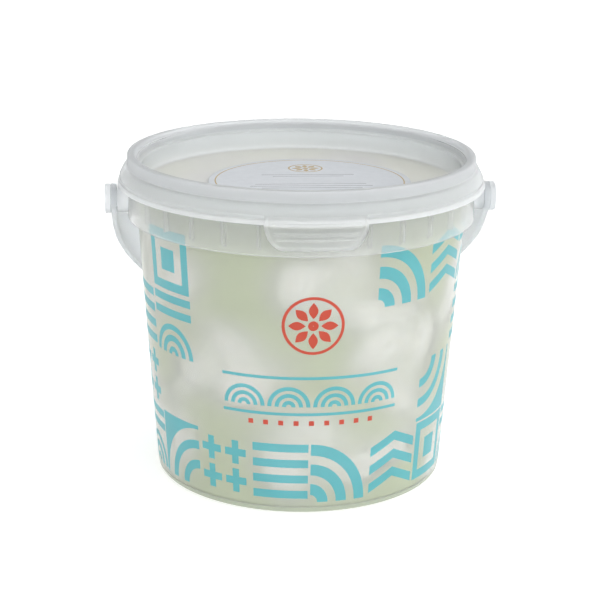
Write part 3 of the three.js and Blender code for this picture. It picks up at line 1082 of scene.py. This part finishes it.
def sector(x, y, r0, r1, start, end, steps=18):
    """Part of a ring, between two angles in degrees."""
    def place(s, t):
        angle = math.radians(start + (end - start) * s)
        radius = r0 + (r1 - r0) * t
        return x + radius * math.cos(angle), y + radius * math.sin(angle)
    return patch(steps, 4, place)


def beyond(r):
    """What a unit square has outside a quarter circle about its first corner."""
    def place(s, t):
        angle = math.pi / 2 * s
        reach = 1 / max(math.cos(angle), math.sin(angle))
        radius = r + (reach - r) * t
        return radius * math.cos(angle), radius * math.sin(angle)
    return patch(24, 6, place)


def fan():
    return [sector(0, 0, r0, r1, 0, 90) for r0, r1 in FAN_RINGS]


def fan_in_reverse():
    return [sector(0, 0, r0, r1, 0, 90) for r0, r1 in FAN_GAPS] + [beyond(FAN_RINGS[-1][1])]


def stripes():
    return [bar(0.04, k / 4 + 0.06, 0.96, k / 4 + 0.19) for k in range(4)]


def chevrons():
    rows = [k / 3.4 for k in range(3)]
    left = [bar(0.03, y + 0.05, 0.5, y + 0.2, 0.2) for y in rows]
    right = [bar(0.5, y + 0.25, 0.97, y + 0.4, -0.2) for y in rows]
    return left + right


def pluses():
    made = []
    for x in PLUS_PLACES:
        for y in PLUS_PLACES:
            made.append(bar(x - PLUS_ARM, y - PLUS_HALF, x + PLUS_ARM, y + PLUS_HALF))
            made.append(bar(x - PLUS_HALF, y + PLUS_HALF, x + PLUS_HALF, y + PLUS_ARM))
            made.append(bar(x - PLUS_HALF, y - PLUS_ARM, x + PLUS_HALF, y - PLUS_HALF))
    return made


def arches():
    rings = [sector(0.5, 0.02, r0, r1, 0, 180, 30) for r0, r1 in ARCH_RINGS]
    return rings + [bar(0.02, 0.62, 0.98, 0.74), bar(0.02, 0.84, 0.98, 0.96)]


def nested():
    """A square in a square frame."""
    return [
        bar(0.03, 0.03, 0.97, 0.17),
        bar(0.03, 0.83, 0.97, 0.97),
        bar(0.03, 0.17, 0.17, 0.83),
        bar(0.83, 0.17, 0.97, 0.83),
        bar(0.33, 0.33, 0.67, 0.67),
    ]


MOTIFS = {
    "f": fan, "F": fan_in_reverse, "s": stripes, "c": chevrons, "p": pluses, "a": arches, "n": nested,
}


# Print
def on_wall(u, z):
    """A point of the print: u runs round the wall from the front, in widths of a tile."""
    angle = u * 2 * math.pi / TILES_ROUND
    radius = wall_r(z) + PRINT_LIFT
    return radius * math.sin(angle), -radius * math.cos(angle), z


def on_disc(x, y):
    """A point of the paper disc's print."""
    return DISC_AT[0] + x, DISC_AT[1] + y, DISC_LOW + DISC_T + PRINT_LIFT


def tile_patches():
    """The wall's tiles, with the fans among them turned by quarters."""
    made = []
    for row, letters in enumerate(TILE_ROWS):
        for i, letter in enumerate(letters):
            if letter == ".":
                continue
            for grid in MOTIFS[letter]():
                for _ in range((i + row) % 4 if letter in "fF" else 0):
                    grid = np.stack([1 - grid[..., 1], grid[..., 0]], -1)
                u = i - TILES_ROUND / 2 + grid[..., 0]
                made.append(np.stack([u, PRINT_LOW + (row + grid[..., 1]) * TILE_H], -1))
    return made


def tile_units(grid):
    """Millimetres from the front's middle, turned into widths of a tile."""
    width = 2 * math.pi * wall_r(TILE_H * 2) / TILES_ROUND
    return np.stack([grid[..., 0] / width, grid[..., 1]], -1)


def band():
    """A row of small fans between two lines, centred on the front."""
    half = BAND_TILE * BAND_TILES / 2
    top = BAND_LOW + BAND_TILE
    made = [
        bar(-half, BAND_LOW - 3 * BAND_LINE, half, BAND_LOW - 2 * BAND_LINE),
        bar(-half, top + 2 * BAND_LINE, half, top + 3 * BAND_LINE),
    ]
    for k in range(BAND_TILES):
        for grid in fan():
            across = grid[..., 0] if k % 2 else 1 - grid[..., 0]
            made.append(np.stack([(across + k) * BAND_TILE - half, BAND_LOW + grid[..., 1] * BAND_TILE], -1))
    return made


def squares():
    gap = 3 * SQUARE_W
    starts = [(k - SQUARES / 2) * gap + SQUARE_W for k in range(SQUARES)]
    return [bar(x, SQUARES_LOW, x + SQUARE_W, SQUARES_LOW + SQUARE_W) for x in starts]


def petal(x, y, radius, turn):
    """A pointed petal that leads out from a centre."""
    ahead = np.array((math.cos(turn), math.sin(turn)))
    aside = np.array((-math.sin(turn), math.cos(turn)))

    def place(s, t):
        out = radius * (0.24 + 0.56 * s)
        side = radius * 0.15 * math.sin(math.pi * s) * (2 * t - 1)
        return (x, y) + out * ahead + side * aside
    return patch(12, 2, place)


def emblem(x, y, radius):
    """A plain rosette in a ring."""
    turns = [2 * math.pi * k / EMBLEM_PETALS for k in range(EMBLEM_PETALS)]
    heart = sector(x, y, radius * 0.01, radius * 0.17, 0, 360, 24)
    ring = sector(x, y, radius * 0.9, radius, 0, 360, 60)
    return [heart, ring] + [petal(x, y, radius, turn) for turn in turns]


def film(name, grids, place, look):
    """A thin layer of ink from grids of points, laid on a surface, with its faces turned outward."""
    verts, faces = [], []
    for grid in grids:
        n, m = grid.shape[:2]
        first = len(verts)
        verts += [place(*point) for point in grid.reshape(-1, 2)]
        for i in range(n - 1):
            for k in range(m - 1):
                a = first + i * m + k
                faces.append((a, a + m, a + m + 1, a + 1))
    obj = mesh_object(name, verts, faces)
    wear(obj, [look])
    middle = Vector((0, 0, RIM_TOP / 2 * MM))
    for face in obj.data.polygons:
        if face.normal.dot(face.center - middle) < 0:
            face.flip()
    obj.data.update()
    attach(obj, "pail")


def make_print():
    film("print_turquoise", tile_patches() + [tile_units(grid) for grid in band()], on_wall, TURQUOISE)
    coral = emblem(0, EMBLEM_Z, EMBLEM_R) + squares()
    film("print_coral", [tile_units(grid) for grid in coral], on_wall, CORAL)
    gold = emblem(0, DISC_EMBLEM_Y, DISC_EMBLEM_R) + [sector(0, 0, *DISC_RING, 0, 360, 96)]
    film("disc_gold", gold, on_disc, GOLD)
    lines = [bar(-w / 2, y, w / 2, y + DISC_LINE_H) for y, w in DISC_LINES]
    film("disc_grey", lines, on_disc, GREY)


# Stage
def make_stage():
    """A plain pale floor that glows evenly."""
    bpy.ops.mesh.primitive_plane_add(size=FLOOR_M)
    floor = bpy.context.object
    floor.name = "floor"
    made, _, shader, _ = material("floor")
    shader.inputs["Base Color"].default_value = (FLOOR_TONE, FLOOR_TONE, FLOOR_TONE, 1)
    shader.inputs["Specular IOR Level"].default_value = 0.0
    shader.inputs["Emission Color"].default_value = (1, 1, 1, 1)
    shader.inputs["Emission Strength"].default_value = FLOOR_GLOW
    floor.data.materials.append(made)


def glow(tree, towards, span, low, high):
    """Light that goes from low to high the more a direction points one way."""
    coords = tree.nodes.new("ShaderNodeTexCoord")
    facing = tree.nodes.new("ShaderNodeVectorMath")
    facing.operation = "DOT_PRODUCT"
    facing.inputs[1].default_value = Vector(towards).normalized()
    tree.links.new(coords.outputs["Generated"], facing.inputs[0])
    return spread(tree, facing.outputs["Value"], span, low, high, "SMOOTHSTEP")


def make_light():
    """A white room, brighter towards the front right and dimmer overhead."""
    world = bpy.data.worlds.new("studio")
    world.use_nodes = True
    tree = world.node_tree
    both = tree.nodes.new("ShaderNodeMath")
    both.operation = "MULTIPLY"
    tree.links.new(glow(tree, KEY_FROM, KEY_SPAN, ROOM_LIGHT, KEY_LIGHT), both.inputs[0])
    tree.links.new(glow(tree, (0, 0, 1), OVERHEAD_SPAN, 1.0, OVERHEAD), both.inputs[1])
    background = tree.nodes["Background"]
    background.inputs["Color"].default_value = (1, 1, 1, 1)
    tree.links.new(both.outputs["Value"], background.inputs["Strength"])
    bpy.context.scene.world = world
    bpy.context.scene.view_settings.view_transform = "Standard"


def make_camera():
    data = bpy.data.cameras.new("camera")
    data.sensor_width = SENSOR_MM
    data.lens = FOCAL_PX / FRAME_PX * SENSOR_MM
    data.clip_start = CLIP_START_M
    camera = bpy.data.objects.new("camera", data)
    bpy.context.scene.collection.objects.link(camera)
    camera.matrix_world = (
        Matrix.Rotation(math.radians(-CAMERA_YAW), 4, "Z")
        @ Matrix.Translation((0, -CAMERA_BACK * MM, CAMERA_UP * MM))
        @ Matrix.Rotation(math.radians(90 - CAMERA_PITCH), 4, "X")
        @ Matrix.Rotation(math.radians(CAMERA_ROLL), 4, "Z")
    )
    bpy.context.scene.camera = camera


make_pail()
make_lid()
make_handle()
make_disc()
make_whey(make_knots())
make_print()
make_stage()
make_light()
make_camera()
